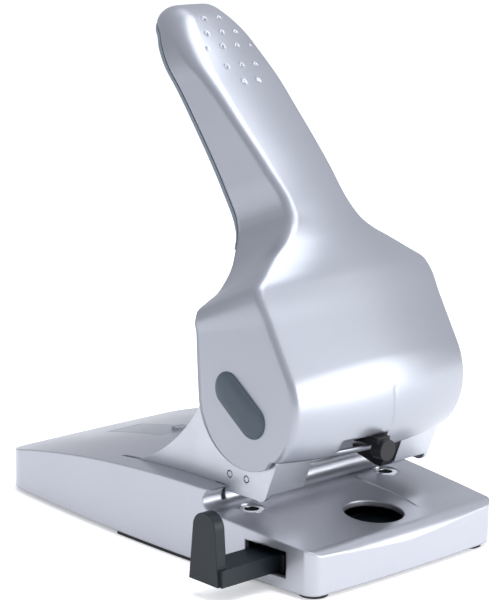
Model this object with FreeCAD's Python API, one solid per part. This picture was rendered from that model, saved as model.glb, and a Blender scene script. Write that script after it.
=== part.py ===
import FreeCAD, Part
import math
import os

from FreeCAD import Vector

# Heavy-duty two-hole lever punch, in millimetres.  +Z is up, the paper enters from -Y, and the
# handle leans back towards +Y.  The origin lies on the table, midway between the two punched holes.

# --- driving dimensions ---------------------------------------------------------------------------
HOLE_SPACING = 80.0        # filing standard, centre to centre
PIN_R = 3.0                # 6 mm holes
PIN_X = HOLE_SPACING / 2
DIE_Z = 24.0               # top of the platform on the line of the holes
PLATFORM_RISE = 0.075      # the platform rises this much per mm towards the back
LEVER_TRAVEL = 44.0        # degrees, handle up to handle down
PIN_PER_RADIAN = 14.5      # mm of pin stroke for one radian of lever
BUSH_R = 5.4               # hardened rings in the platform

# base shell
BASE_WALL = 2.5
BASE_BOTTOM = 2.0
BASE_TOP = 33.8            # top of the raised rear part, at its front edge
BASE_CREST_Y = 20.0        # behind this line the rear part falls away on a large arc
BASE_CREST_R = 531.0
FRONT_Y = -52.2
REAR_Y = 151.0
WAIST_HALF = 59.0          # widest half width, at the waist
WAIST_Y = 28.0
FRONT_CORNER = (48.5, -44.8, 6.0)      # centre x, centre y, radius
REAR_CORNER = (41.0, 136.0, 14.0)
FRONT_ROLL_R = 6.0         # round between the platform and the front face
BOSS_R = 4.5               # screw bosses under the rear top
WEB_SCREW_X = 34.0         # screws that hold the frame web
WEB_SCREW_Y = (24.0, 58.0)
TRAY_SCREW = (40.0, 138.0) # screws that hold the bottom tray
THROAT_Y = 5.0             # the paper stops against a half-round wall that springs from this line

# finger hole and paper guide
FINGER_Y = -31.3
FINGER_R = 12.75
GUIDE_Y0, GUIDE_Y1 = -29.5, -15.5
GUIDE_Z0, GUIDE_Z1 = 7.2, 14.4
GUIDE_FIN_X = -84.0
GUIDE_FIN_T = 5.0
GUIDE_FIN_Y0, GUIDE_FIN_Y1 = -28.0, -11.0
GUIDE_FIN_TOP = 36.0
GUIDE_END_X = 31.0
GUIDE_SLOT = (-36.5, -14.6, 6.9, 18.0)     # y and z limits of the slot in the side of the base

# frame
FRAME_HALF = 48.0
FRAME_T = 2.0
FRAME_BOTTOM = 31.5
FLANGE_WIDTH = 21.0
FLANGE_LEAN = 0.38         # the folded front leans forward this much per mm of height
FLANGE_LOW, FLANGE_TOP = 34.5, 49.5
WEB_BOTTOM = 20.0          # cross plate that ties the two side plates inside the base
SWEEP_Y, SWEEP_Z, SWEEP_R = 92.7, 107.9, 81.6
BLOCK_SCREW_Y, BLOCK_SCREW_Z = 5.0, 39.0

# lever
PIVOT_Y, PIVOT_Z = -6.5, 72.0
CHEEK_R = 28.3
CHEEK_OUT = 50.6
CHEEK_T = 2.2
CROWN = 7.2                # the drum bulges forward this much in its middle
LIP_Z = 50.5               # lower edge of the drum's front wall
AXLE_R = 4.0
ROD_R = 3.5
ROD_Z = 62.0
ARM_X0, ARM_X1 = 29.0, 32.0
WEB_Z = 101.0              # cross plate that ties the two cam plates to the housing
LEVER_SCREWS = ((-20.0, -6.0), (-20.0, 10.0), (20.0, -6.0), (20.0, 10.0))
RUN = 0.05                 # running clearance of a shaft in its bore

# lock
SLOT_X0, SLOT_X1 = -25.0, -1.0
SLOT_Z0, SLOT_Z1 = 53.0, 57.5
KNOB_X, KNOB_Z, KNOB_R = -6.5, 52.2, 4.4

# emptying door in the rear top
DOOR_HALF = 10.0
DOOR_Y0, DOOR_Y1 = 92.0, 130.0
DOOR_GAP = 0.4
DOOR_T = 2.0
HINGE_R = 0.8


# --- small helpers --------------------------------------------------------------------------------
def box(x0, x1, y0, y1, z0, z1):
    return Part.makeBox(x1 - x0, y1 - y0, z1 - z0, Vector(x0, y0, z0))


def rod_x(radius, x0, x1, y, z):
    return Part.makeCylinder(radius, x1 - x0, Vector(x0, y, z), Vector(1, 0, 0))


def rod_y(radius, y0, y1, x, z):
    return Part.makeCylinder(radius, y1 - y0, Vector(x, y0, z), Vector(0, 1, 0))


def rod_z(radius, z0, z1, x, y):
    return Part.makeCylinder(radius, z1 - z0, Vector(x, y, z0), Vector(0, 0, 1))


def line(a, b):
    return Part.LineSegment(a, b).toShape()


def arc(a, b, c):
    return Part.Arc(a, b, c).toShape()


def polygon(points):
    return Part.makePolygon(list(points) + [points[0]])


def side_prism(edges, x0, x1):
    """Extrude a closed outline, drawn in the plane x = 0, from x0 to x1."""
    face = Part.Face(Part.Wire(edges))
    face.translate(Vector(x0, 0, 0))
    return face.extrude(Vector(x1 - x0, 0, 0))


def side_polygon(points, x0, x1):
    return side_prism(polygon([Vector(0, y, z) for y, z in points]).Edges, x0, x1)


def mirrored(shape):
    return shape.mirror(Vector(0, 0, 0), Vector(1, 0, 0))


def both(shape):
    """A shape and its mirror image in the plane x = 0, as one group."""
    return Part.makeCompound([shape, mirrored(shape)])


def joined(shapes):
    return shapes[0].multiFuse(shapes[1:]).removeSplitter()


def save(name, shape):
    shape.exportStep("parts/" + name + ".step")


# --- base -----------------------------------------------------------------------------------------
def platform_z(y):
    return DIE_Z + PLATFORM_RISE * y


def rear_top_z(y, drop=0.0):
    """Height of the rear part: level at the crest, then a large arc falling to the back."""
    radius = BASE_CREST_R - drop
    return BASE_TOP - BASE_CREST_R + math.sqrt(radius ** 2 - (y - BASE_CREST_Y) ** 2)


def base_plan(inset):
    """The bowed outline of the base seen from above, moved in by the inset."""
    fx, fy, fr = FRONT_CORNER
    rx, ry, rr = REAR_CORNER
    fr -= inset
    rr -= inset
    h = math.sqrt(0.5)
    front_l, front_r = Vector(-fx, fy - fr, 0), Vector(fx, fy - fr, 0)
    side_fr, side_rr = Vector(fx + fr, fy, 0), Vector(rx + rr, ry, 0)
    rear_r, rear_l = Vector(rx, ry + rr, 0), Vector(-rx, ry + rr, 0)
    side_rl, side_fl = Vector(-rx - rr, ry, 0), Vector(-fx - fr, fy, 0)
    return Part.Wire([
        arc(front_l, Vector(0, FRONT_Y + inset, 0), front_r),
        arc(front_r, Vector(fx + fr * h, fy - fr * h, 0), side_fr),
        arc(side_fr, Vector(WAIST_HALF - inset, WAIST_Y, 0), side_rr),
        arc(side_rr, Vector(rx + rr * h, ry + rr * h, 0), rear_r),
        arc(rear_r, Vector(0, REAR_Y - inset, 0), rear_l),
        arc(rear_l, Vector(-rx - rr * h, ry + rr * h, 0), side_rl),
        arc(side_rl, Vector(-WAIST_HALF + inset, WAIST_Y, 0), side_fl),
        arc(side_fl, Vector(-fx - fr * h, fy - fr * h, 0), front_l),
    ])


def base_profile(inset):
    """Side outline: rolled front edge, sloping platform, half-round throat wall, falling rear top."""
    far_front, far_rear = FRONT_Y - 8, REAR_Y + 8
    floor = BASE_BOTTOM - inset
    mid_z = (platform_z(THROAT_Y) + BASE_TOP) / 2
    wall_r = (BASE_TOP - platform_z(THROAT_Y)) / 2 + inset
    roll_y = FRONT_Y + FRONT_ROLL_R
    roll_top = Vector(0, roll_y, platform_z(roll_y) - inset)
    half_turn = math.sqrt(0.5) * (FRONT_ROLL_R - inset)
    roll_mid = Vector(0, roll_y - half_turn, platform_z(roll_y) - FRONT_ROLL_R + half_turn)
    roll_end = Vector(0, FRONT_Y + inset, platform_z(roll_y) - FRONT_ROLL_R)
    throat_low = Vector(0, THROAT_Y, mid_z - wall_r)
    top_z = BASE_TOP - inset
    reach = math.sqrt(wall_r ** 2 - (top_z - mid_z) ** 2)
    lip = Vector(0, THROAT_Y + reach, top_z)
    crest = Vector(0, BASE_CREST_Y, top_z)
    half_way = (BASE_CREST_Y + far_rear) / 2
    fall_mid = Vector(0, half_way, rear_top_z(half_way, inset))
    fall_end = Vector(0, far_rear, rear_top_z(far_rear, inset))
    throat_mid = Vector(0, THROAT_Y + wall_r * 0.866, mid_z - wall_r * 0.5)
    return [
        line(Vector(0, far_front, floor), Vector(0, far_rear, floor)),
        line(Vector(0, far_rear, floor), fall_end),
        arc(fall_end, fall_mid, crest),
        line(crest, lip),
        arc(lip, throat_mid, throat_low),
        line(throat_low, roll_top),
        arc(roll_top, roll_mid, roll_end),
        line(roll_end, Vector(0, far_front, roll_end.z)),
        line(Vector(0, far_front, roll_end.z), Vector(0, far_front, floor)),
    ]


def base_block(inset):
    plan = Part.Face(base_plan(inset)).extrude(Vector(0, 0, 60))
    return plan.common(side_prism(base_profile(inset), -80, 80))


def frame_slits():
    """Two slits in the rear top that the side plates of the frame stand in."""
    slit = box(FRAME_HALF - FRAME_T - 0.1, FRAME_HALF + 0.1, THROAT_Y - 1, 74, 27, 40)
    return both(slit)


def base_shell():
    shell = base_block(0.0).cut(base_block(BASE_WALL))
    tray_x, tray_y = TRAY_SCREW
    bosses = []
    for side in (-1, 1):
        for y in WEB_SCREW_Y:
            bosses.append(rod_z(BOSS_R, 22.0, 32.5, side * WEB_SCREW_X, y))
        bosses.append(rod_z(BOSS_R, 4.0, 20.5, side * tray_x, tray_y))
    shell = joined([shell] + [boss.common(base_block(0.5)) for boss in bosses])
    y0, y1, z0, z1 = GUIDE_SLOT
    cuts = [
        rod_z(FINGER_R, 10, 40, 0, FINGER_Y),
        box(-70, -45, y0, y1, z0, z1),
        frame_slits(),
        box(-DOOR_HALF, DOOR_HALF, DOOR_Y0, DOOR_Y1, 8, 40),
        door_pin(),
    ]
    for side in (-1, 1):
        cuts.append(rod_z(BUSH_R + 0.1, 10, 40, side * PIN_X, 0))
        for y in WEB_SCREW_Y:
            cuts.append(rod_z(1.6, 20, 30, side * WEB_SCREW_X, y))
        cuts.append(rod_z(1.6, 3.0, 14.0, side * tray_x, tray_y))
    return shell.cut(Part.makeCompound(cuts))


def bottom_tray():
    """Black tray under the base: it catches the chips and its underside is the flat that rests."""
    gap = 0.3
    plan = Part.Face(base_plan(BASE_WALL + gap))
    panel = plan.extrude(Vector(0, 0, 1.6))
    panel.translate(Vector(0, 0, BASE_BOTTOM + 0.2))
    pad = Part.Face(base_plan(1.2)).extrude(Vector(0, 0, 1.9)).common(box(-60, 60, 14, 65, -1, 5))
    middle = box(-44, 44, -44, 14, 0, 1.9)
    neck = plan.extrude(Vector(0, 0, 2.4)).common(box(-44, 44, -44, 65, 1, 5))
    rim = box(-40, 40, 12, 70, 3.0, 9.0).cut(box(-38.4, 38.4, 13.6, 68.4, 2, 10))
    tray = joined([panel, pad, middle, neck, rim])
    holes = both(rod_z(1.8, -1, 12, *TRAY_SCREW))
    return tray.cut(holes).cut(both(front_foot()))


def tray_screws():
    screw = joined([rod_z(1.5, 0.8, 13.0, *TRAY_SCREW), rod_z(3.0, 0.6, 2.15, *TRAY_SCREW)])
    return both(screw)


def front_foot():
    return joined([rod_z(6.0, 0.0, BASE_BOTTOM, 46.0, -43.0), rod_z(2.0, 1.0, 5.0, 46.0, -43.0)])


def die_bush():
    """Hardened ring set in the platform; its bore is the lower half of each punch."""
    z_top = platform_z(-2.0) - 0.15
    ring = rod_z(BUSH_R, z_top - 6.0, z_top, PIN_X, 0)
    return ring.cut(rod_z(PIN_R + 0.06, 10, 30, PIN_X, 0))


def guide_rail():
    """Black channel under the platform that the bar of the paper guide slides in."""
    y0, y1 = GUIDE_Y0 - 2.3, GUIDE_Y1 + 2.3
    rail = box(-52.0, 50.0, y0, y1, 4.3, GUIDE_Z1 + 0.3)
    groove = box(-60, 60, GUIDE_Y0 - 0.3, GUIDE_Y1 + 0.3, GUIDE_Z0 - 0.3, 20)
    side_walls = base_block(BASE_WALL + 0.2)
    return rail.common(side_walls).cut(groove)


def paper_guide():
    bar = box(GUIDE_FIN_X + 1, GUIDE_END_X, GUIDE_Y0, GUIDE_Y1, GUIDE_Z0, GUIDE_Z1)
    mid_y = (GUIDE_FIN_Y0 + GUIDE_FIN_Y1) / 2
    arch_r = 6.5
    arch_z = GUIDE_FIN_TOP - arch_r
    low_front, low_back = Vector(0, GUIDE_FIN_Y0, GUIDE_Z0), Vector(0, GUIDE_FIN_Y1, GUIDE_Z0)
    arch_front, arch_back = Vector(0, mid_y - arch_r, arch_z), Vector(0, mid_y + arch_r, arch_z)
    fin = side_prism([
        line(low_front, low_back),
        line(low_back, arch_back),
        arc(arch_back, Vector(0, mid_y, GUIDE_FIN_TOP), arch_front),
        line(arch_front, low_front),
    ], GUIDE_FIN_X, GUIDE_FIN_X + GUIDE_FIN_T)
    notches = []
    for x in (-40.0, -20.0, 0.0, 20.0):
        notches.append(rod_y(0.8, GUIDE_Y0 - 1, GUIDE_Y1 + 1, x, GUIDE_Z0))
    return joined([bar, fin]).cut(Part.makeCompound(notches))


# --- emptying door --------------------------------------------------------------------------------
def hinge_place():
    y = DOOR_Y1 - DOOR_GAP - DOOR_T / 2
    return y, rear_top_z(y) - DOOR_T / 2


def door_pin():
    y, z = hinge_place()
    return rod_x(HINGE_R, -DOOR_HALF - 3, DOOR_HALF + 3, y, z)


def chip_door():
    y, z = hinge_place()
    x = DOOR_HALF - DOOR_GAP
    front = DOOR_Y0 + DOOR_GAP
    mid = (front + y) / 2
    top = [Vector(0, at, rear_top_z(at)) for at in (front, mid, y)]
    under = [Vector(0, at, rear_top_z(at, DOOR_T)) for at in (front, mid, y)]
    leaf = side_prism([
        line(under[0], top[0]),
        arc(top[0], top[1], top[2]),
        line(top[2], under[2]),
        arc(under[2], under[1], under[0]),
    ], -x, x)
    knuckle = rod_x(DOOR_T / 2, -x, x, y, z)
    tab = box(1.5, 8.0, front + 1.5, front + 5.5, rear_top_z(front) - 1, rear_top_z(front) + 0.9)
    return joined([leaf, knuckle, tab]).cut(rod_x(HINGE_R + RUN, -20, 20, y, z))


# --- frame ----------------------------------------------------------------------------------------
def flange_y(z):
    """The folded front edge leans forward as it rises."""
    return -17.0 - FLANGE_LEAN * (z - FLANGE_LOW)


def sweep_point(y):
    """A point of the concave rear edge of the side plates."""
    return Vector(0, y, SWEEP_Z - math.sqrt(SWEEP_R ** 2 - (SWEEP_Y - y) ** 2))


def frame_outline():
    """Side view of a frame plate: boss round the axle, concave back edge, foot in the base."""
    boss_r = 18.0
    rear_foot = sweep_point(72.0)
    low_rear = Vector(0, 72.0, WEB_BOTTOM)
    low_front = Vector(0, 13.0, WEB_BOTTOM)
    rest_rear = Vector(0, 13.0, BASE_TOP + 0.2)
    rest_front = Vector(0, 7.5, BASE_TOP + 0.2)
    toe_rear = Vector(0, 7.5, FRAME_BOTTOM)
    toe_front = Vector(0, -11.5, FRAME_BOTTOM)
    boss_rear = Vector(0, PIVOT_Y + boss_r, PIVOT_Z + 3)
    boss_top = Vector(0, PIVOT_Y, PIVOT_Z + boss_r)
    boss_front = Vector(0, PIVOT_Y - boss_r, PIVOT_Z)
    chin = Vector(0, PIVOT_Y - 14.0, 57.0)
    flange_high = Vector(0, flange_y(FLANGE_TOP), FLANGE_TOP)
    flange_low = Vector(0, flange_y(FLANGE_LOW), FLANGE_LOW)
    corner = Vector(0, flange_low.y + 1.35, FLANGE_LOW - 2.16)
    return [
        line(toe_front, toe_rear),
        line(toe_rear, rest_front),
        line(rest_front, rest_rear),
        line(rest_rear, low_front),
        line(low_front, low_rear),
        line(low_rear, rear_foot),
        arc(rear_foot, sweep_point(40.0), sweep_point(20.5)),
        line(sweep_point(20.5), boss_rear),
        arc(boss_rear, boss_top, boss_front),
        line(boss_front, chin),
        line(chin, flange_high),
        line(flange_high, flange_low),
        arc(flange_low, corner, toe_front),
    ]


def frame_plate():
    """Right-hand side plate with its folded front; the left one is its mirror image."""
    plate = side_prism(frame_outline(), FRAME_HALF - FRAME_T, FRAME_HALF)
    flange = side_polygon([
        (flange_y(FLANGE_LOW), FLANGE_LOW),
        (flange_y(FLANGE_TOP), FLANGE_TOP),
        (flange_y(FLANGE_TOP) + 2.1, FLANGE_TOP),
        (flange_y(FLANGE_LOW) + 2.1, FLANGE_LOW),
    ], FRAME_HALF - FLANGE_WIDTH, FRAME_HALF - FRAME_T)
    body = joined([plate, flange])
    rod_low = ROD_Z - PIN_PER_RADIAN * math.radians(LEVER_TRAVEL)
    cuts = [
        rod_x(6.0, 40, 60, PIVOT_Y, PIVOT_Z),
        rod_x(ROD_R + 0.3, 40, 60, 0, ROD_Z + 0.4),
        rod_x(ROD_R + 0.3, 40, 60, 0, rod_low - 0.4),
        box(40, 60, -ROD_R - 0.3, ROD_R + 0.3, rod_low - 0.4, ROD_Z + 0.4),
        rod_x(1.6, 40, 60, BLOCK_SCREW_Y, BLOCK_SCREW_Z),
        rod_x(1.6, 40, 60, -BLOCK_SCREW_Y, BLOCK_SCREW_Z),
    ]
    return body.cut(Part.makeCompound(cuts))


def frame_web():
    """Cross plate inside the base that ties the two side plates together."""
    half = FRAME_HALF - FRAME_T
    web = box(-half, half, 14.0, 70.0, WEB_BOTTOM, WEB_BOTTOM + FRAME_T)
    holes = [both(rod_z(2.1, 18, 24, WEB_SCREW_X, y)) for y in WEB_SCREW_Y]
    window = box(-20, 20, 28, 56, 18, 24)
    return web.cut(Part.makeCompound(holes + [window]))


def frame_screws():
    screws = []
    for side in (-1, 1):
        for y in WEB_SCREW_Y:
            shank = rod_z(1.5, 19.0, 29.0, side * WEB_SCREW_X, y)
            head = rod_z(3.4, 17.6, WEB_BOTTOM, side * WEB_SCREW_X, y)
            screws.append(joined([shank, head]))
    return Part.makeCompound(screws)


def guide_block():
    """Steel block that guides one punch pin and holds the foot of its spring."""
    block = box(33.5, FRAME_HALF - FRAME_T, -8.0, 8.0, 34.2, 44.5)
    nose = rod_z(5.2, 32.0, 35.0, PIN_X, 0)
    body = joined([block, nose])
    cuts = [
        rod_z(PIN_R + RUN, 30, 46, PIN_X, 0),
        rod_z(5.1, 38.0, 46, PIN_X, 0),
        rod_x(1.25, 42.5, 48, BLOCK_SCREW_Y, BLOCK_SCREW_Z),
        rod_x(1.25, 42.5, 48, -BLOCK_SCREW_Y, BLOCK_SCREW_Z),
    ]
    return body.cut(Part.makeCompound(cuts))


def block_screws():
    screws = []
    for y in (-BLOCK_SCREW_Y, BLOCK_SCREW_Y):
        screws.append(rod_x(1.2, 43.0, FRAME_HALF - 0.05, y, BLOCK_SCREW_Z))
    return Part.makeCompound(screws)


def axle():
    return rod_x(AXLE_R, -CHEEK_OUT + 1.1, CHEEK_OUT - 1.1, PIVOT_Y, PIVOT_Z)


def axle_bush():
    sleeve = rod_x(6.0, FRAME_HALF - FRAME_T, FRAME_HALF, PIVOT_Y, PIVOT_Z)
    collar = rod_x(8.0, FRAME_HALF - FRAME_T - 0.8, FRAME_HALF - FRAME_T, PIVOT_Y, PIVOT_Z)
    return joined([sleeve, collar]).cut(rod_x(AXLE_R + RUN, 40, 60, PIVOT_Y, PIVOT_Z))


def lock_bracket():
    """Black catch on the frame beside the right-hand flange."""
    x0, x1 = 20.0, FRAME_HALF - FLANGE_WIDTH
    low, high = 33.6, 48.5
    hook = side_polygon([
        (flange_y(low) + 1.0, low), (flange_y(high), high), (flange_y(high) + 6.0, high),
        (flange_y(high) + 6.0, high - 6.0), (1.0, 40.0), (1.0, 37.0), (flange_y(low) + 4.0, low),
    ], x0, x1)
    ear = side_polygon([
        (flange_y(36) + 2.1, 36), (flange_y(48) + 2.1, 48),
        (flange_y(48) + 4.1, 48), (flange_y(36) + 4.1, 36),
    ], x1 - 0.5, x1 + 8.0)
    return joined([hook, ear])


# --- punch pins -----------------------------------------------------------------------------------
def punch_pin():
    shaft = rod_z(PIN_R, 33.0, 57.0, PIN_X, 0)
    head = rod_z(5.0, 56.0, 67.5, PIN_X, 0)
    tip_cut = rod_x(3.6, 30, 50, 0, 31.2)
    return joined([shaft, head]).cut(tip_cut).cut(rod_x(ROD_R + RUN, 30, 50, 0, ROD_Z))


def drive_rod():
    return rod_x(ROD_R, -FRAME_HALF + 0.1, FRAME_HALF - 0.1, 0, ROD_Z)


def rod_clips():
    clip = rod_x(5.2, 33.2, 34.2, 0, ROD_Z).cut(rod_x(ROD_R + RUN, 30, 40, 0, ROD_Z))
    return both(clip)


def return_spring():
    """Coil spring round the pin, drawn as the sleeve that its coils fill."""
    return rod_z(4.7, 38.05, 55.95, PIN_X, 0).cut(rod_z(3.7, 30, 60, PIN_X, 0))


# --- lever ----------------------------------------------------------------------------------------
def drum_section(x, grow):
    """Outline of the drum at one station across: round under the pivot axis, leaning back above."""
    crown = CROWN * (1 - (x / CHEEK_OUT) ** 2)
    radius = CHEEK_R + crown + grow
    lean = math.radians(30)
    inside = grow < 0
    lip_dz = LIP_Z - PIVOT_Z - (2.0 if inside else 0.0)
    lip_dy = -math.sqrt(radius ** 2 - lip_dz ** 2)
    high_y, high_z = -radius * math.cos(lean), radius * math.sin(lean)
    top_z = 49.5 + 1.11 * grow
    top_y = high_y + (top_z - high_z) * math.tan(lean)
    rear = 30.7 + (9.0 if inside else 0.0)
    rear_z = 32.5 - 0.489 * (rear - 30.7) + 1.11 * grow
    points = [
        (lip_dy, lip_dz),
        (-radius * math.cos(0.1), -radius * math.sin(0.1)),
        (high_y, high_z),
        (top_y, top_z),
        (rear, rear_z),
        (rear - 2.5, lip_dz),
    ]
    v = [Vector(x, PIVOT_Y + y, PIVOT_Z + z) for y, z in points]
    sides = [line(v[i], v[(i + 1) % 6]) for i in (2, 3, 4, 5)]
    return Part.Wire([arc(v[0], v[1], v[2])] + sides)


def drum_solid(grow):
    half = CHEEK_OUT + grow
    stations = [half * t for t in (-1.0, -0.5, 0.0, 0.5, 1.0)]
    return Part.makeLoft([drum_section(x, grow) for x in stations], True, False)


def handle_section(front, back, half, square, grow):
    """Closed rounded section through a front and a back point of the handle."""
    front = Vector(0, *front)
    back = Vector(0, *back)
    middle = (front + back) * 0.5
    across = front - back
    depth = across.Length / 2 + grow
    across.normalize()
    points = []
    count = 28
    for i in range(count):
        t = 2 * math.pi * (i + 0.5) / count
        c, s = math.cos(t), math.sin(t)
        along = math.copysign(abs(c) ** (2 / square), c) * depth
        side = math.copysign(abs(s) ** (2 / square), s) * (half + grow)
        points.append(middle + across * along + Vector(side, 0, 0))
    curve = Part.BSplineCurve()
    curve.interpolate(points, PeriodicFlag=True)
    return Part.Wire([curve.toShape()])


HANDLE_STATIONS = [
    # front point (y, z), back point (y, z), half width, squareness
    ((-16.0, 118.0), (23.5, 105.0), 47.0, 4.0),
    ((-11.5, 130.0), (27.5, 114.5), 36.0, 3.2),
    ((-5.5, 142.0), (33.0, 126.0), 25.0, 3.0),
    ((13.9, 160.8), (39.3, 137.3), 20.5, 3.0),
    ((35.4, 182.4), (54.6, 162.7), 21.0, 3.0),
    ((53.0, 198.9), (68.1, 182.6), 21.0, 2.8),
    ((69.5, 213.6), (82.2, 201.7), 17.5, 2.6),
    ((86.0, 222.5), (91.0, 211.5), 11.5, 2.3),
    ((92.5, 220.6), (94.2, 215.4), 5.0, 2.0),
]


def handle_solid(grow, first, last):
    wires = [handle_section(*HANDLE_STATIONS[i], grow) for i in range(first, last)]
    return Part.makeLoft(wires, True, False)


def underside_slab(depth):
    """The strip along the underside of the handle that its separate cover fills."""
    backs = [station[1] for station in HANDLE_STATIONS[2:]]
    inner = [Vector(0, y - 0.83 * depth, z + 0.56 * depth) for y, z in backs]
    outer = [Vector(0, y + 6.0, z - 4.0) for y, z in backs]
    inner.append(Vector(0, 102, 222))
    outer.append(Vector(0, 108, 216))
    return side_prism(polygon(inner + outer[::-1]).Edges, -40, 40)


def cheek_outline():
    """Side view of the cheek: circle about the pivot, straight leaning front, sloping top."""
    lean = math.radians(30)
    high = (-CHEEK_R * math.cos(lean), CHEEK_R * math.sin(lean))
    top = (high[0] + (49.5 - high[1]) * math.tan(lean), 49.5)
    low = (CHEEK_R * math.cos(0.142), -CHEEK_R * math.sin(0.142))
    corners = [low, (0, -CHEEK_R), high, top, (30.7, 32.5)]
    v = [Vector(0, PIVOT_Y + y, PIVOT_Z + z) for y, z in corners]
    return [arc(v[0], v[1], v[2]), line(v[2], v[3]), line(v[3], v[4]), line(v[4], v[0])]


def oval(x0, x1, grow):
    """Stadium prism over the end of the axle, its long side sloping down towards the front."""
    straight, radius = 9.0, 7.5 + grow
    middle = Vector(0, -3.5, 70.3)
    turn = math.radians(36)
    along = Vector(0, math.cos(turn), math.sin(turn))
    across = Vector(0, -math.sin(turn), math.cos(turn))
    a = middle + along * straight
    b = middle - along * straight
    edges = [
        line(b + across * radius, a + across * radius),
        arc(a + across * radius, a + along * radius, a - across * radius),
        line(a - across * radius, b - across * radius),
        arc(b - across * radius, b - along * radius, b + across * radius),
    ]
    return side_prism(edges, x0, x1)


def lever_housing():
    outer = drum_solid(0.0).fuse(handle_solid(0.0, 0, 9))
    inner = drum_solid(-CHEEK_T).fuse(handle_solid(-CHEEK_T, 0, 8))
    cheeks = [side_prism(cheek_outline(), CHEEK_OUT - CHEEK_T, CHEEK_OUT)]
    cheeks.append(mirrored(cheeks[0]))
    shell = outer.cut(inner).cut(underside_slab(2.0))
    shell = shell.cut(box(-CHEEK_OUT + CHEEK_T, CHEEK_OUT - CHEEK_T, 8.0, 60.0, 30.0, 103.0))
    shell = shell.cut(box(-60, 60, -60, 60, 30.0, LIP_Z))
    bosses = []
    for x, y in LEVER_SCREWS:
        bosses.append(rod_z(4.0, WEB_Z + 3.0, 125.0, x, y).common(outer))
    shell = joined([shell] + cheeks + bosses)
    cuts = [
        rod_x(AXLE_R, -60, 60, PIVOT_Y, PIVOT_Z),
        both(oval(CHEEK_OUT - 1.0, CHEEK_OUT + 5, 0.15)),
        box(SLOT_X0, SLOT_X1, -60, -20, SLOT_Z0, SLOT_Z1),
    ]
    for x, y in LEVER_SCREWS:
        cuts.append(rod_z(1.3, WEB_Z, WEB_Z + 10.0, x, y))
    return shell.cut(Part.makeCompound(cuts))


def handle_cover():
    return handle_solid(0.0, 0, 9).common(underside_slab(1.85))


def lever_arm():
    """Steel cam plate: it turns with the lever and its curved slot pushes the drive rod down."""
    disc = rod_x(13.0, ARM_X0, ARM_X1, PIVOT_Y, PIVOT_Z)
    post = side_polygon([
        (PIVOT_Y - 12.5, PIVOT_Z),
        (PIVOT_Y - 4.0, WEB_Z),
        (PIVOT_Y + 20.0, WEB_Z),
        (PIVOT_Y + 24.5, PIVOT_Z - 8.0),
    ], ARM_X0, ARM_X1)
    travel = math.radians(LEVER_TRAVEL)
    follower = []
    steps = 12
    for i in range(steps + 1):
        angle = travel * i / steps
        dz = ROD_Z - PIN_PER_RADIAN * angle - PIVOT_Z
        dy = -PIVOT_Y
        turned_y = dy * math.cos(angle) - dz * math.sin(angle)
        turned_z = dy * math.sin(angle) + dz * math.cos(angle)
        follower.append(Vector(0, PIVOT_Y + turned_y, PIVOT_Z + turned_z))
    tail = [rod_x(ROD_R + 5.0, ARM_X0, ARM_X1, p.y, p.z) for p in follower[::4]]
    plate = joined([disc, post] + tail)
    slot = [rod_x(ROD_R + 0.35, ARM_X0 - 1, ARM_X1 + 1, p.y, p.z) for p in follower]
    plate = plate.cut(joined(slot))
    return plate.cut(rod_x(AXLE_R, 20, 40, PIVOT_Y, PIVOT_Z))


def lever_web():
    web = box(-ARM_X1, ARM_X1, PIVOT_Y - 4.0, PIVOT_Y + 20.0, WEB_Z, WEB_Z + 3.0)
    holes = [rod_z(1.8, WEB_Z - 1, WEB_Z + 5, x, y) for x, y in LEVER_SCREWS]
    return web.cut(Part.makeCompound(holes))


def web_screws():
    screws = []
    for x, y in LEVER_SCREWS:
        head = rod_z(3.2, WEB_Z - 2.0, WEB_Z, x, y)
        shank = rod_z(1.25, WEB_Z - 1, WEB_Z + 9.0, x, y)
        screws.append(joined([head, shank]))
    return Part.makeCompound(screws)


def side_cap():
    """Domed oval cover over the axle end."""
    body = oval(CHEEK_OUT - 0.95, CHEEK_OUT + 2.6, 0.0)
    outer = [edge for edge in body.Edges if min(v.X for v in edge.Vertexes) > CHEEK_OUT + 2.5]
    return body.makeFillet(2.2, outer)


def lock_slider():
    """Round knob outside the drum, a neck through the slot and a keeper plate inside."""
    knob = rod_y(KNOB_R, -44.5, -39.0, KNOB_X, KNOB_Z)
    neck = box(KNOB_X - 3.6, KNOB_X + 3.6, -42.0, -31.0, SLOT_Z0 + 0.9, SLOT_Z1 - 0.3)
    keeper = box(KNOB_X - 5.0, KNOB_X + 5.0, -31.7, -30.0, SLOT_Z0 + 1.0, SLOT_Z1 + 2.5)
    return joined([knob, neck, keeper])


def main():
    os.makedirs("parts", exist_ok=True)
    save("base_shell", base_shell())
    save("bottom_tray", bottom_tray())
    save("tray_screws", tray_screws())
    save("guide_rail", guide_rail())
    save("paper_guide", paper_guide())
    save("chip_door", chip_door())
    save("door_pin", door_pin())
    save("frame_web", frame_web())
    save("frame_screws", frame_screws())
    save("axle", axle())
    save("lock_bracket", lock_bracket())
    save("drive_rod", drive_rod())
    save("rod_clips", rod_clips())
    save("lever_housing", lever_housing())
    save("handle_cover", handle_cover())
    save("lever_web", lever_web())
    save("web_screws", web_screws())
    save("lock_slider", lock_slider())
    pairs = {
        "front_foot": front_foot(), "die_bush": die_bush(), "frame_plate": frame_plate(),
        "guide_block": guide_block(), "block_screws": block_screws(), "axle_bush": axle_bush(),
        "punch_pin": punch_pin(), "return_spring": return_spring(), "lever_arm": lever_arm(),
        "side_cap": side_cap(),
    }
    for name, shape in pairs.items():
        save(name + "_right", shape)
        save(name + "_left", mirrored(shape))


main()
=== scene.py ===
import math

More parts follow.
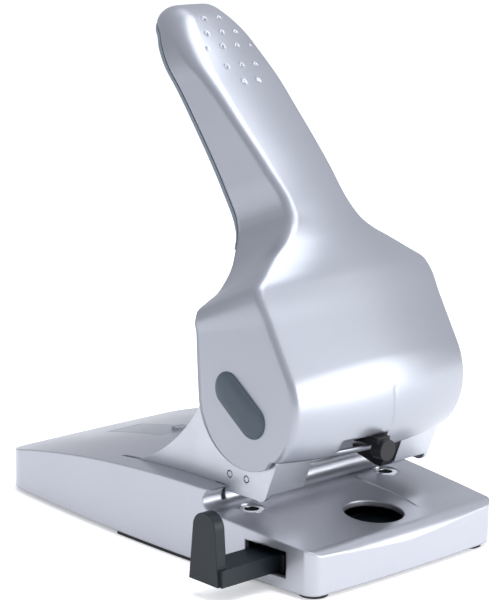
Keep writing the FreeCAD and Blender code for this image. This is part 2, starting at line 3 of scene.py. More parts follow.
import bpy
import numpy as np
from mathutils import Matrix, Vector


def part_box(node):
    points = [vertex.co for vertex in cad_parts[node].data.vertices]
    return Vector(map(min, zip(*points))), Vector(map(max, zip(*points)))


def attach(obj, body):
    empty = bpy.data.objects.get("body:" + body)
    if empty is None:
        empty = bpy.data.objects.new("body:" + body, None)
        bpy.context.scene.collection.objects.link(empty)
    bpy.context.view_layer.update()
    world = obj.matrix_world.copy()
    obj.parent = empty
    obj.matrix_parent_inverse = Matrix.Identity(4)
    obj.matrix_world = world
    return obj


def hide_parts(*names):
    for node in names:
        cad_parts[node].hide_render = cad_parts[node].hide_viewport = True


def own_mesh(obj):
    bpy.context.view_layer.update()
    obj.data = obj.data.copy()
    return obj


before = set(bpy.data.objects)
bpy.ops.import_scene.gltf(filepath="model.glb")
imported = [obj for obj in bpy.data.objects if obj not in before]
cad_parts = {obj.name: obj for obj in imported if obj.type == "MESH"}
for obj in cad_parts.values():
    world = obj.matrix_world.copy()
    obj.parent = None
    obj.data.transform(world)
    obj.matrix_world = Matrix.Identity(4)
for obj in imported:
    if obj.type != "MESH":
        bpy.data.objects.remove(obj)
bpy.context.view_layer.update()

# --- camera, floor and light ----------------------------------------------------------------------
# The punch is seen from its front left and a little above.  It stands on a plain white table in soft
# studio light: a large panel in front on its right, one over the handle and a pale room all round.
camera_place = (-0.6318, -0.6267, 0.3060)
azimuth, elevation, roll = np.radians([-43.285, 12.698, 0.846])
back = np.array([
    math.sin(azimuth) * math.cos(elevation),
    -math.cos(azimuth) * math.cos(elevation),
    math.sin(elevation),
])
level = np.cross([0.0, 0.0, 1.0], back)
level /= np.linalg.norm(level)
upright = np.cross(back, level)
right = math.cos(roll) * level + math.sin(roll) * upright
up = math.cos(roll) * upright - math.sin(roll) * level
lens = bpy.data.cameras.new("camera")
lens.lens = 131.4
lens.sensor_width = 36.0
lens.clip_start = 0.05
lens.clip_end = 50.0
camera = bpy.data.objects.new("camera", lens)
turn = np.eye(4)
turn[:3, 0], turn[:3, 1], turn[:3, 2], turn[:3, 3] = right, up, back, camera_place
camera.matrix_world = Matrix(turn.tolist())
bpy.context.scene.collection.objects.link(camera)
bpy.context.scene.camera = camera
bpy.context.scene.view_settings.view_transform = "Standard"


def node_material(name):
    """An empty node material with its Principled shader, and a function that adds linked nodes."""
    made = bpy.data.materials.new(name)
    made.use_nodes = True
    tree = made.node_tree
    shader = tree.nodes["Principled BSDF"]

    def add(kind, inputs=None, **settings):
        node = tree.nodes.new(kind)
        for key, value in settings.items():
            setattr(node, key, value)
        for key, value in (inputs or {}).items():
            if isinstance(value, bpy.types.NodeSocket):
                tree.links.new(value, node.inputs[key])
            else:
                node.inputs[key].default_value = value
        return node

    return made, tree, shader, add


floor_white, tree, shader, add = node_material("table_white")
place = add("ShaderNodeTexCoord").outputs["Object"]
grain = add("ShaderNodeTexNoise", {"Vector": place, "Scale": 900.0, "Detail": 3.0})
tint = add("ShaderNodeValToRGB", {"Fac": grain.outputs["Fac"]})
tint.color_ramp.elements[0].color = (0.93, 0.93, 0.94, 1.0)
tint.color_ramp.elements[1].color = (0.96, 0.96, 0.96, 1.0)
tree.links.new(tint.outputs["Color"], shader.inputs["Base Color"])
shader.inputs["Roughness"].default_value = 0.85
shader.inputs["Specular IOR Level"].default_value = 0.1
shader.inputs["Emission Color"].default_value = (1.0, 1.0, 1.0, 1.0)
shader.inputs["Emission Strength"].default_value = 0.35
half_floor = 6.0
floor_mesh = bpy.data.meshes.new("table")
floor_mesh.from_pydata(
    [(-half_floor, -half_floor, 0), (half_floor, -half_floor, 0),
     (half_floor, half_floor, 0), (-half_floor, half_floor, 0)],
    [], [(0, 1, 2, 3)])
floor_mesh.materials.append(floor_white)
floor = bpy.data.objects.new("table", floor_mesh)
bpy.context.scene.collection.objects.link(floor)

room = bpy.data.worlds.new("room")
bpy.context.scene.world = room
room.use_nodes = True
sky = room.node_tree
direction = sky.nodes.new("ShaderNodeTexCoord")
parts = sky.nodes.new("ShaderNodeSeparateXYZ")
sky.links.new(direction.outputs["Generated"], parts.inputs["Vector"])
height = sky.nodes.new("ShaderNodeValToRGB")
height.color_ramp.elements[0].position = 0.0
height.color_ramp.elements[0].color = (0.62, 0.64, 0.70, 1.0)
height.color_ramp.elements[1].position = 0.75
height.color_ramp.elements[1].color = (0.86, 0.88, 0.95, 1.0)
sky.links.new(parts.outputs["Z"], height.inputs["Fac"])
sky.links.new(height.outputs["Color"], sky.nodes["Background"].inputs["Color"])
sky.nodes["Background"].inputs["Strength"].default_value = 0.84


def soft_panel(name, place, aim, size, power, colour):
    """A rectangular lamp at place that faces aim; size is its width and height in metres."""
    lamp = bpy.data.lights.new(name, "AREA")
    lamp.shape = "RECTANGLE"
    lamp.size, lamp.size_y = size
    lamp.energy = power
    lamp.color = colour
    panel = bpy.data.objects.new(name, lamp)
    bpy.context.scene.collection.objects.link(panel)
    away = np.array(place, float) - np.array(aim, float)
    away /= np.linalg.norm(away)
    side = np.cross([0.0, 0.0, 1.0], away)
    side /= np.linalg.norm(side)
    place_turn = np.eye(4)
    place_turn[:3, 0] = side
    place_turn[:3, 1] = np.cross(away, side)
    place_turn[:3, 2] = away
    place_turn[:3, 3] = place
    panel.matrix_world = Matrix(place_turn.tolist())


soft_panel("front_panel", (0.50, -1.20, 0.32), (0.0, 0.0, 0.08), (1.3, 0.9), 17.0, (1.0, 1.0, 1.0))
soft_panel("top_panel", (0.1, -0.2, 1.3), (0.0, 0.0, 0.1), (1.0, 1.0), 13.0, (0.96, 0.97, 1.0))

# --- silver housings ------------------------------------------------------------------------------
# The lever housing and the emptying door are pressed steel with satin silver paint: fine bright flakes
# under a thin clear coat, a little orange peel and slow changes of gloss.


def dress(material, *nodes):
    """Gives the CAD nodes one material in every slot of their meshes."""
    for node in nodes:
        mesh = bpy.data.objects[node].data
        if not mesh.materials:
            mesh.materials.append(material)
        for k in range(len(mesh.materials)):
            mesh.materials[k] = material


def painted(name, colour, metal, rough, flake=0.05, coat=0.25):
    """Metallic paint: flakes from a cell pattern, peel from fine noise, gloss from slow noise."""
    made, tree, shader, add = node_material(name)
    place = add("ShaderNodeTexCoord").outputs["Object"]
    flakes = add("ShaderNodeTexVoronoi", {"Vector": place, "Scale": 5200.0})
    peel = add("ShaderNodeTexNoise", {"Vector": place, "Scale": 1400.0, "Detail": 2.0})
    slow = add("ShaderNodeTexNoise", {"Vector": place, "Scale": 14.0, "Detail": 3.0})
    tint = add("ShaderNodeMix", {"Factor": flakes.outputs["Distance"]}, data_type="RGBA")
    light = [min(1.0, c * (1 + flake)) for c in colour]
    dark = [c * (1 - flake) for c in colour]
    for socket, shade in zip([s for s in tint.inputs if s.type == "RGBA"], (light, dark)):
        socket.default_value = (*shade, 1.0)
    gloss = add("ShaderNodeMapRange", {
        "Value": slow.outputs["Fac"], "From Min": 0.3, "From Max": 0.7,
        "To Min": rough - 0.03, "To Max": rough + 0.03})
    edge = add("ShaderNodeBevel", {"Radius": 0.0007}, samples=6)
    bump = add("ShaderNodeBump", {
        "Height": peel.outputs["Fac"], "Strength": 0.08, "Distance": 0.00005,
        "Normal": edge.outputs["Normal"]})
    colour_out = [s for s in tint.outputs if s.type == "RGBA"][0]
    tree.links.new(colour_out, shader.inputs["Base Color"])
    tree.links.new(gloss.outputs["Result"], shader.inputs["Roughness"])
    tree.links.new(bump.outputs["Normal"], shader.inputs["Normal"])
    shader.inputs["Metallic"].default_value = metal
    shader.inputs["Coat Weight"].default_value = coat
    shader.inputs["Coat Roughness"].default_value = 0.2
    return made


silver = painted("silver_paint", (0.335, 0.352, 0.39), 0.75, 0.38)
dress(silver, "chip_door")

# --- plastic pieces -------------------------------------------------------------------------------
# Moulded plastic with a fine matt grain: slate grey guide and axle caps, a paler grey strip under the
# handle, a black tray, lock, bracket and guide rail, and rubber feet.


def moulded(name, colour, rough, grain=2600.0):
    """Plastic: colour and gloss vary a few percent with slow noise, fine grain gives the bump."""
    made, tree, shader, add = node_material(name)
    place = add("ShaderNodeTexCoord").outputs["Object"]
    fine = add("ShaderNodeTexNoise", {"Vector": place, "Scale": grain, "Detail": 3.0})
    slow = add("ShaderNodeTexNoise", {"Vector": place, "Scale": 30.0, "Detail": 4.0})
    tint = add("ShaderNodeValToRGB", {"Fac": slow.outputs["Fac"]})
    tint.color_ramp.elements[0].position = 0.3
    tint.color_ramp.elements[0].color = (*[c * 0.92 for c in colour], 1.0)
    tint.color_ramp.elements[1].position = 0.7
    tint.color_ramp.elements[1].color = (*[min(1.0, c * 1.08) for c in colour], 1.0)
    gloss = add("ShaderNodeMapRange", {
        "Value": slow.outputs["Fac"], "From Min": 0.3, "From Max": 0.7,
        "To Min": rough - 0.04, "To Max": rough + 0.04})
    edge = add("ShaderNodeBevel", {"Radius": 0.0006}, samples=6)
    bump = add("ShaderNodeBump", {
        "Height": fine.outputs["Fac"], "Strength": 0.15, "Distance": 0.00006,
        "Normal": edge.outputs["Normal"]})
    tree.links.new(tint.outputs["Color"], shader.inputs["Base Color"])
    tree.links.new(gloss.outputs["Result"], shader.inputs["Roughness"])
    tree.links.new(bump.outputs["Normal"], shader.inputs["Normal"])
    shader.inputs["Specular IOR Level"].default_value = 0.28
    return made


slate = moulded("slate_plastic", (0.006, 0.011, 0.014), 0.4)
cap_grey = moulded("cap_plastic", (0.065, 0.085, 0.105), 0.45)
strip_grey = moulded("strip_plastic", (0.17, 0.20, 0.235), 0.5)
black = moulded("black_plastic", (0.006, 0.006, 0.008), 0.42)
rubber = moulded("foot_rubber", (0.02, 0.02, 0.02), 0.75, 1500.0)
dress(slate, "paper_guide")
dress(black, "lock_slider", "lock_bracket", "guide_rail", "bottom_tray")
dress(rubber, "front_foot_left", "front_foot_right")

# --- steel and bronze pieces ----------------------------------------------------------------------
# Bare metal: zinc-plated side plates, arms, webs, guide blocks, screws and clips; ground punch pins,
# dies, axle and drive rod; bronze bushes.


def bare_metal(name, colour, rough, stretch=(1.0, 1.0, 14.0), scratch=0.12):
    """Worn metal: noise stretched along one axis gives drawn lines in the gloss and the bump."""
    made, tree, shader, add = node_material(name)
    place = add("ShaderNodeTexCoord").outputs["Object"]
    pulled = add("ShaderNodeMapping", {"Vector": place})
    pulled.inputs["Scale"].default_value = stretch
    lines = add("ShaderNodeTexNoise", {
        "Vector": pulled.outputs["Vector"], "Scale": 260.0, "Detail": 4.0})
    slow = add("ShaderNodeTexNoise", {"Vector": place, "Scale": 40.0, "Detail": 3.0})
    tint = add("ShaderNodeValToRGB", {"Fac": slow.outputs["Fac"]})
    tint.color_ramp.elements[0].color = (*[c * 0.85 for c in colour], 1.0)
    tint.color_ramp.elements[1].color = (*[min(1.0, c * 1.1) for c in colour], 1.0)
    gloss = add("ShaderNodeMapRange", {
        "Value": lines.outputs["Fac"], "To Min": rough - 0.08, "To Max": rough + 0.08})
    edge = add("ShaderNodeBevel", {"Radius": 0.0004}, samples=6)
    bump = add("ShaderNodeBump", {
        "Height": lines.outputs["Fac"], "Strength": scratch, "Distance": 0.00004,
        "Normal": edge.outputs["Normal"]})
    tree.links.new(tint.outputs["Color"], shader.inputs["Base Color"])
    tree.links.new(gloss.outputs["Result"], shader.inputs["Roughness"])
    tree.links.new(bump.outputs["Normal"], shader.inputs["Normal"])
    shader.inputs["Metallic"].default_value = 1.0
    return made


zinc = bare_metal("zinc_plate", (0.52, 0.54, 0.58), 0.42)
ground = bare_metal("ground_steel", (0.72, 0.73, 0.74), 0.22)
bronze = bare_metal("bronze", (0.55, 0.36, 0.16), 0.35)
dress(zinc, "frame_plate_left", "frame_plate_right", "frame_web", "lever_arm_left",
      "lever_arm_right", "lever_web", "guide_block_left", "guide_block_right", "tray_screws",
      "frame_screws", "block_screws_left", "block_screws_right", "web_screws", "rod_clips", "door_pin")
dress(ground, "axle", "drive_rod", "punch_pin_left", "punch_pin_right", "die_bush_left",
      "die_bush_right")
dress(bronze, "axle_bush_left", "axle_bush_right")

# --- base shell -----------------------------------------------------------------------------------
# Pressed steel in the housing's silver paint, its colour painted lighter as painted light on the base's
# upward faces.  The platform is dished round the finger hole: the paint material carries the dish's
# crescent edge as a step in its bump height.

base_silver_painted_light, tree, shader, add = node_material("base_silver_painted_light")
place = add("ShaderNodeTexCoord").outputs["Object"]
flakes = add("ShaderNodeTexVoronoi", {"Vector": place, "Scale": 5200.0})
slow = add("ShaderNodeTexNoise", {"Vector": place, "Scale": 22.0, "Detail": 3.0})
tint = add("ShaderNodeValToRGB", {"Fac": flakes.outputs["Distance"]})
# Painted light: both flake colours sit above the housing's silver so the base's upward faces read
# brighter.
tint.color_ramp.elements[0].color = (0.43, 0.44, 0.48, 1.0)
tint.color_ramp.elements[1].color = (0.37, 0.38, 0.42, 1.0)
gloss = add("ShaderNodeMapRange", {
    "Value": slow.outputs["Fac"], "From Min": 0.3, "From Max": 0.7, "To Min": 0.29, "To Max": 0.36})
parts = add("ShaderNodeSeparateXYZ", {"Vector": place})
# The step rises from x = 22 mm to 24 mm, and bends 4.5 mm inwards towards the front edge.
bow = add("ShaderNodeMapRange", {
    "Value": parts.outputs["Y"], "From Min": -0.048, "From Max": -0.020, "To Min": 0.0045,
    "To Max": 0.0}, interpolation_type="SMOOTHSTEP")
bowed = add("ShaderNodeMath", {0: parts.outputs["X"], 1: bow.outputs["Result"]}, operation="ADD")
step = add("ShaderNodeMapRange", {
    "Value": bowed.outputs["Value"], "From Min": 0.0220, "From Max": 0.0240, "To Min": 0.0,
    "To Max": 1.0}, interpolation_type="SMOOTHSTEP")
fade = add("ShaderNodeMapRange", {
    "Value": parts.outputs["Y"], "From Min": -0.044, "From Max": -0.028, "To Min": 0.0,
    "To Max": 1.0}, interpolation_type="SMOOTHSTEP")
front_only = add("ShaderNodeMapRange", {
    "Value": parts.outputs["Y"], "From Min": 0.006, "From Max": 0.0045, "To Min": 0.0,
    "To Max": 1.0})
faded = add("ShaderNodeMath", {0: step.outputs["Result"], 1: fade.outputs["Result"]},
            operation="MULTIPLY")
masked = add("ShaderNodeMath", {0: faded.outputs["Value"], 1: front_only.outputs["Result"]},
             operation="MULTIPLY")
edge = add("ShaderNodeBevel", {"Radius": 0.0012}, samples=6)
dish = add("ShaderNodeBump", {
    "Height": masked.outputs["Value"], "Strength": 1.0, "Distance": 0.0016,
    "Normal": edge.outputs["Normal"]})
tree.links.new(tint.outputs["Color"], shader.inputs["Base Color"])
tree.links.new(gloss.outputs["Result"], shader.inputs["Roughness"])
tree.links.new(dish.outputs["Normal"], shader.inputs["Normal"])
shader.inputs["Metallic"].default_value = 0.8
shader.inputs["Coat Weight"].default_value = 0.25
shader.inputs["Coat Roughness"].default_value = 0.2
dress(base_silver_painted_light, "base_shell")

# --- lever housing --------------------------------------------------------------------------------
# One pressed shell in silver paint: the drum round the axle with its two flat cheeks, the shoulder,
# the neck and the thumb pad at the top with its pattern of small dimples.


def ease(value):
    """Smooth step: 0 below 0, 1 above 1, and 3v^2 - 2v^3 between."""
    value = np.clip(value, 0.0, 1.0)
    return value * value * (3.0 - 2.0 * value)


def through(stations, where):
    """Smooth curve through the stations: cubic between two, its slope at each the mean of its spans."""
    place, values = stations[:, 0], stations[:, 1:]
    span = np.diff(place)[:, None]
    slope = np.diff(values, axis=0) / span
    tangent = np.empty_like(values)
    tangent[0], tangent[-1] = slope[0], slope[-1]
    tangent[1:-1] = (slope[:-1] * span[1:] + slope[1:] * span[:-1]) / (span[1:] + span[:-1])
    k = np.clip(np.searchsorted(place, where, side="right") - 1, 0, len(span) - 1)
    h = span[k]
    s = ((where - place[k])[:, None] / h)
    return ((2 * s**3 - 3 * s**2 + 1) * values[k] + (s**3 - 2 * s**2 + s) * h * tangent[k]
            + (3 * s**2 - 2 * s**3) * values[k + 1] + (s**3 - s**2) * h * tangent[k + 1])


def grid_faces(rows, columns, start=0):
    """Quads of points numbered row by row."""
    i = np.arange(rows - 1)[:, None] * columns
    j = np.arange(columns - 1)[None, :]
    corners = [i + j, i + j + 1, i + columns + j + 1, i + columns + j]
    return start + np.stack(np.broadcast_arrays(*corners), -1).reshape(-1, 4)


def joined_mesh(name, points, quads, material):
    """A smooth mesh of points in mm: equal points become one, and pinched quads lose a side."""
    _, first, lookup = np.unique(
        np.round(points, 3), axis=0, return_index=True, return_inverse=True)
    faces = [list(dict.fromkeys(quad)) for quad in lookup.ravel()[quads].tolist()]
    mesh = bpy.data.meshes.new(name)
    mesh.from_pydata(
        (points[first] * 0.001).tolist(), [], [face for face in faces if len(face) > 2])
    mesh.shade_smooth()
    mesh.materials.append(material)
    return mesh


def riding(name, mesh, body):
    """Puts a mesh in the scene as a piece that moves with a body."""
    piece = bpy.data.objects.new(name, mesh)
    bpy.context.scene.collection.objects.link(piece)
    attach(piece, body)
    return piece


def shell_piece(name, points, quads, wall, material, body):
    """A sheet in millimetres, made into a smooth wall of the given thickness on its inner side."""
    mesh = joined_mesh(name, points, quads, material)
    mesh.set_sharp_from_angle(angle=math.radians(32.0))
    piece = riding(name, mesh, body)
    solid = piece.modifiers.new("wall", "SOLIDIFY")
    solid.thickness = wall * 0.001
    solid.offset = -1.0
    return piece


def round_corner(start, control, end, steps):
    """Points after start on a round bend: the rational quadratic of start, control and end.

    B(t) = ((1-t)^2 S + 2t(1-t)w C + t^2 E) / ((1-t)^2 + 2t(1-t)w + t^2), with w = cos 45 degrees."""
    t = np.linspace(0.0, 1.0, steps + 1)[1:, None]
    from_start, from_control, from_end = (1 - t) ** 2, 2 * t * (1 - t) * 0.7071, t ** 2
    total = from_start + from_control + from_end
    return (from_start * start[:, None] + from_control * control[:, None]
            + from_end * end[:, None]) / total


def mirrored(half_rows):
    """Rows that run from the middle to the right, with their left halves in front of them."""
    return np.concatenate([half_rows[:, :0:-1] * np.array([-1.0, 1.0, 1.0]), half_rows], axis=1)


pivot = np.array([-6.5, 72.0])      # the axle's y and z
drum_half, rim_radius = 50.6, 2.6   # half width over the cheeks, round edge of each cheek
cheek_r, crown_r = 28.3, 35.5       # radius of the cheeks, and of the drum in its middle
lean = 30.0                         # the drum's front runs straight from this angle upwards
lip_crown, lip_cheek = -37.3, -49.4  # where the lip meets the middle and the cheeks
rear_low, rear_share = -8.2, 0.45   # angle, and share of the rows, where the rear edge turns straight
drum_steps = 44
fan = np.linspace(0.0, 1.0, drum_steps)
front_turn = np.radians(lip_crown + (lean - lip_crown) * fan)
cheek_turn = np.radians(lip_cheek + (lean - lip_cheek) * fan)
rear_turn = np.radians(lip_cheek + (rear_low - lip_cheek) * np.minimum(fan / rear_share, 1.0))
drum_front = pivot + crown_r * np.stack([-np.cos(front_turn), np.sin(front_turn)], -1)
drum_corner = pivot + cheek_r * np.stack([-np.cos(cheek_turn), np.sin(cheek_turn)], -1)
drum_rear = (pivot + cheek_r * np.stack([np.cos(rear_turn), np.sin(rear_turn)], -1)
             + np.maximum(fan - rear_share, 0.0)[:, None] / (1 - rear_share) * np.array([1.3, 17.0]))
drum_rows = np.column_stack(
    [drum_front, drum_corner, drum_rear, 0 * fan + drum_half, 0 * fan + rim_radius])
# Above the drum, each station gives y and z of the front's middle, of the front corner before it is
# rounded and of the rear edge, and then the half width and the corner's radius.
upper = np.array([
    (-37.24, 89.75, -31.01, 86.15, 22.80, 85.00, 50.6, 2.6),
    (-26.5, 107.5, -19.9, 105.3, 23.4, 95.0, 50.6, 2.6),
    (-20.2, 118.2, -13.4, 116.7, 24.0, 101.3, 50.6, 2.8),
    (-17.9, 122.0, -11.2, 120.3, 24.2, 104.3, 49.2, 3.2),
    (-14.6, 126.7, -8.2, 124.2, 24.6, 107.0, 44.0, 4.0),
    (-9.5, 133.0, -4.1, 129.8, 25.5, 111.5, 35.6, 4.6),
    (-6.2, 136.9, -2.2, 134.4, 28.5, 118.5, 27.6, 4.4),
    (-3.9, 139.8, -0.9, 138.0, 32.0, 125.0, 22.8, 4.0),
    (-0.6, 143.8, 1.1, 142.5, 35.0, 130.0, 19.3, 3.6),
    (2.9, 147.7, 4.0, 146.7, 37.5, 134.0, 18.0, 3.5),
    (14.2, 160.4, 15.3, 159.5, 45.0, 148.0, 18.5, 3.5),
    (35.7, 182.1, 36.7, 181.1, 62.0, 174.0, 19.8, 4.0),
    (48.2, 194.7, 49.3, 193.6, 72.0, 188.0, 20.6, 5.0),
    (57.5, 203.9, 59.1, 202.2, 79.0, 196.5, 21.0, 6.5),
    (67.8, 214.0, 69.2, 212.6, 85.2, 204.5, 19.4, 8.5),
    (75.4, 219.6, 76.5, 218.6, 88.6, 208.6, 17.2, 9.5),
    (84.6, 222.3, 85.0, 221.9, 91.9, 211.2, 15.2, 8.0),
    (90.2, 221.3, 90.5, 220.8, 94.4, 212.4, 12.6, 5.6),
    (94.6, 219.0, 94.8, 218.6, 96.6, 213.0, 9.0, 3.2),
    (97.2, 216.6, 97.3, 216.4, 98.0, 213.4, 5.0, 1.4),
    (98.3, 215.6, 98.3, 215.5, 98.5, 213.5, 0.9, 0.3),
])
length = np.concatenate([[0], np.cumsum(np.linalg.norm(np.diff(upper[:, :2], axis=0), axis=1))])
flare, pad = 7, 12      # stations where the cover and the dimpled pad begin
upper_steps = 118       # rows up to the pad, and again over it
where = np.concatenate([np.linspace(0, length[pad], upper_steps)[1:],
                        np.linspace(length[pad], length[-1], upper_steps)[1:]])
rows = np.vstack([drum_rows, through(np.column_stack([length, upper]), where)])
handle_from = drum_steps + np.searchsorted(where, length[flare])
front_point, corner_point, rear_point = rows[:, 0:2], rows[:, 2:4], rows[:, 4:6]
half, radius = rows[:, 6], rows[:, 7]
inward = rear_point - corner_point
reach = np.linalg.norm(inward, axis=1)
inward /= reach[:, None]
# The sides stop short of the rear edge by the depth of the cover, which grows over 24 rows.
cover_depth, fade_rows = 3.7, 24.0
fade = (np.arange(len(rows)) - handle_from + fade_rows / 2) / fade_rows
strip = np.minimum(cover_depth * np.clip(fade, 0, 1), 0.35 * reach)
flats, rounds, sides = 48, 8, 18    # steps over half the front, round the corner, along the side


def section(front, corner, half, radius, inward, side_to):
    """Half of a U for every row: crowned front, round corner and straight side.

    Front: F + (C - F)(x/w)^2.  The side runs from the corner's end to side_to along inward."""
    x = np.linspace(0.0, 1.0, flats + 1)[None, :] * (half - radius)[:, None]
    share = (x / half[:, None]) ** 2
    crown = np.dstack([x, front[:, None] + (corner - front)[:, None] * share[..., None]])
    bend = round_corner(
        crown[:, -1], np.column_stack([half, corner]),
        np.column_stack([half, corner + inward * radius[:, None]]), rounds)
    steps = np.linspace(0, 1, sides + 1)[None, 1:]
    along = radius[:, None] + (side_to - radius)[:, None] * steps
    side = corner[:, None] + inward[:, None] * along[..., None]
    side = np.dstack([np.broadcast_to(half[:, None], along.shape), side])
    return np.concatenate([crown, bend, side], axis=1)


right_half = section(front_point, corner_point, half, radius, inward, reach - strip)
skin = mirrored(right_half)
middle_column = flats + rounds + sides
# The centre mark is a shallow groove, and each dimple a round hollow pressed into the pad.
tangents = np.gradient(skin, axis=0)
outward = np.cross(np.gradient(skin, axis=1), tangents)
outward /= np.maximum(np.linalg.norm(outward, axis=2, keepdims=True), 1e-9)
depth = np.zeros(skin.shape[:2])
mark_low, mark_high, mark_half, mark_depth = 60.0, 77.0, 0.4, 0.45
drum_face = -20.0    # the front of the drum lies before this y
mark = ((skin[..., 2] > mark_low) & (skin[..., 2] < mark_high)
        & (np.abs(skin[..., 0]) < mark_half) & (skin[..., 1] < drum_face))
depth[mark] = mark_depth
dimple_depth, dimple_reach = 1.05, 1.3
for x_from, y_mid in ((4.2, 72.1), (0.0, 65.6), (8.2, 65.6), (4.1, 60.1), (12.3, 60.1), (0.0, 52.9),
                      (8.2, 52.9), (4.1, 46.5)):
    for sign in ((1.0,) if x_from == 0.0 else (1.0, -1.0)):
        row = np.argmin(np.abs(skin[handle_from:, middle_column, 1] - y_mid)) + handle_from
        spot = skin[row, middle_column] + np.array([sign * x_from, 0.0, 0.0])
        apart = np.linalg.norm(skin - spot, axis=2)
        depth += dimple_depth * ease(dimple_reach - apart)
skin = skin - outward * depth[..., None]
faces = grid_faces(*skin.shape[:2])
centre = skin.reshape(-1, 3)[faces].mean(axis=1)
slot_left, slot_right, slot_low, slot_high = -25.1, -1.0, 53.0, 57.6
slot_hole = ((centre[:, 0] > slot_left) & (centre[:, 0] < slot_right)
             & (centre[:, 2] > slot_low) & (centre[:, 2] < slot_high)
             & (centre[:, 1] < drum_face))
points, quads = [skin.reshape(-1, 3)], [faces[~slot_hole]]
# Below the lip the cheeks run on as flat skirts that close the circle round the axle.
skirt_steps = 16
skirt_share = np.linspace(0.0, 1.0, skirt_steps)[:, None]
low_turn = np.radians(lip_cheek + (-90.0 - lip_cheek) * skirt_share)
skirt_front = pivot + cheek_r * np.hstack([-np.cos(low_turn), np.sin(low_turn)])
skirt_rear = pivot + cheek_r * np.hstack([np.cos(low_turn), np.sin(low_turn)])
for sign in (-1.0, 1.0):
    across = np.linspace(0.0, 1.0, sides + 1)[None, :, None]
    start = skirt_front[:, None] + (skirt_rear - skirt_front)[:, None] * across
    offset = right_half[0, -sides - 1:, 1:] - start[0]
    start = start + offset[None] * (1.0 - ease(skirt_share * 2.5))[..., None]
    skirt = np.dstack([np.full(start.shape[:2], sign * drum_half), start])
    skirt_faces = grid_faces(*skirt.shape[:2], start=sum(len(p) for p in points))
    points.append(skirt.reshape(-1, 3))
    quads.append(skirt_faces[:, ::-1] if sign > 0 else skirt_faces)
points, quads = np.concatenate(points), np.concatenate(quads)
housing_wall = 1.1
housing = shell_piece("lever_shell", points, quads, housing_wall, silver, "lever")
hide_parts("lever_housing")

# --- handle cover ---------------------------------------------------------------------------------
# A grey plastic strip that closes the hollow underside of the handle, set off from the silver shell
# by a narrow dark joint.

bend_radius, joint, side_gap, lip_width, cover_wall = 1.3, 0.75, 0.15, 3.0, 1.4
tip_rows, cover_flats, cover_rounds = 22, 12, 8
covered = slice(handle_from, len(rows) - tip_rows)
cover_half, cover_rear = half[covered], rear_point[covered]
joint_line = cover_rear - inward[covered] * (strip[covered] - joint)[:, None]
bend_size = np.minimum(bend_radius, 0.4 * cover_half)
flat_x = np.linspace(0.0, 1.0, cover_flats + 1)[None, :] * (cover_half - bend_size)[:, None]
flat = np.dstack([flat_x, cover_rear[:, None] + 0.0 * flat_x[..., None]])
edge_x = cover_half - side_gap
bend = round_corner(flat[:, -1], np.column_stack([edge_x, cover_rear]),
                    np.column_stack([edge_x, joint_line]), cover_rounds)
lip = np.column_stack([cover_half - lip_width, joint_line])[:, None]
cover_skin = mirrored(np.concatenate([flat, bend, lip], axis=1))
cover_faces = grid_faces(*cover_skin.shape[:2])[:, ::-1]
cover = shell_piece(
    "cover_strip", cover_skin.reshape(-1, 3), cover_faces, cover_wall, strip_grey, "lever")
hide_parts("handle_cover")

# --- axle caps ------------------------------------------------------------------------------------
# A pillowed oval cap of grey plastic closes each end of the axle.  It lies on the cheek, and its long
# side slopes down towards the front.

cap_middle, cap_straight, cap_radius, cap_rise = (-3.5, 70.3), 9.0, 7.3, 2.6
cap_tilt = math.radians(36.0)
cap_gap, cap_edge = 0.05, 1.0    # clearance from the cheek, and how far the edge runs into it
around = np.linspace(0.0, 2 * math.pi, 97)[:-1]
along = (np.sign(np.cos(around)) * cap_straight * ease(np.abs(np.cos(around)) * 6.0)
         + cap_radius * np.cos(around))
across = cap_radius * np.sin(around)
# Rings run from the middle to the rim, and the height falls as (1 - s^3.2)^0.5.
share = np.sin(np.linspace(0.0, math.pi / 2, 22))[:, None]
cap_y = cap_middle[0] + share * (along * math.cos(cap_tilt) - across * math.sin(cap_tilt))
cap_z = cap_middle[1] + share * (along * math.sin(cap_tilt) + across * math.cos(cap_tilt))
cap_x = drum_half + cap_gap + cap_rise * (1.0 - share ** 3.2) ** 0.5 + 0 * cap_y
for sign, node in ((-1.0, "side_cap_left"), (1.0, "side_cap_right")):
    loops = np.dstack([sign * cap_x, cap_y, cap_z])
    loops = np.concatenate([loops, loops[-1:] - np.array([sign * cap_edge, 0.0, 0.0])])
    loops = np.concatenate([loops, loops[:, :1]], axis=1)
    quads = grid_faces(*loops.shape[:2])
    quads = quads if sign < 0 else quads[:, ::-1]
    mesh = joined_mesh("pillow_" + node, loops.reshape(-1, 3), quads, cap_grey)
    pillow = riding("pillow_" + node, mesh, "lever")
    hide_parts(node)
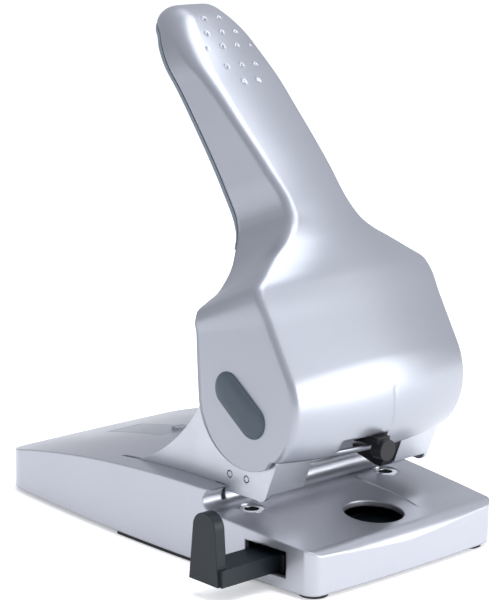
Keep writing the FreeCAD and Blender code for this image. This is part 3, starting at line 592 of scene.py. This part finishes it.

# --- return springs -------------------------------------------------------------------------------
# One coil of spring steel wire round each punch pin, between the guide block and the pin's head.


def coil_mesh(name, x, y, low, high, radius, wire, turns, around=10, along=420):
    """Wire along a helix whose pitch eases at both ends, with capped wire ends.

    Rise: t - 0.55 sin(2 pi t) / (2 pi), from the foot at t = 0 to the head at t = 1."""
    t = np.linspace(0.0, 1.0, along)
    turn = 2 * math.pi * turns * t
    lift = t + np.sin(2 * math.pi * t) / (2 * math.pi) * -0.55
    middle = np.stack([x + radius * np.cos(turn), y + radius * np.sin(turn),
                       low + wire + (high - low - 2 * wire) * lift], -1)
    out = np.stack([np.cos(turn), np.sin(turn), 0 * turn], -1)
    run = np.gradient(middle, axis=0)
    run /= np.linalg.norm(run, axis=1, keepdims=True)
    side = np.cross(run, out)
    a = np.linspace(0, 2 * math.pi, around, endpoint=False)
    ring = (middle[:, None] + wire * (np.cos(a)[None, :, None] * out[:, None]
                                      + np.sin(a)[None, :, None] * side[:, None]))
    points = ring.reshape(-1, 3)
    i = np.arange(along - 1)[:, None] * around
    j = np.arange(around)[None, :]
    k = (j + 1) % around
    faces = np.stack([i + j, i + around + j, i + around + k, i + k], -1).reshape(-1, 4).tolist()
    faces.append(list(range(around)))
    faces.append(list(range(along * around - 1, (along - 1) * around - 1, -1)))
    mesh = bpy.data.meshes.new(name)
    mesh.from_pydata((points * 0.001).tolist(), [], faces)
    mesh.shade_smooth()
    return mesh


spring_steel = bare_metal("spring_steel", (0.45, 0.46, 0.48), 0.3)
coil_radius, wire_radius, turns = 4.25, 0.45, 8.5
foot_gap, head_gap = 0.1, 0.9
for node in ("return_spring_left", "return_spring_right"):
    low_corner, high_corner = [np.array(corner) * 1000 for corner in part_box(node)]
    centre = (low_corner + high_corner) / 2
    mesh = coil_mesh("coil_" + node, centre[0], centre[1], low_corner[2] + foot_gap,
                     high_corner[2] - head_gap, coil_radius, wire_radius, turns)
    mesh.materials.append(spring_steel)
    coil = riding("coil_" + node, mesh, "base")
    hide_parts(node)
    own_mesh(coil)
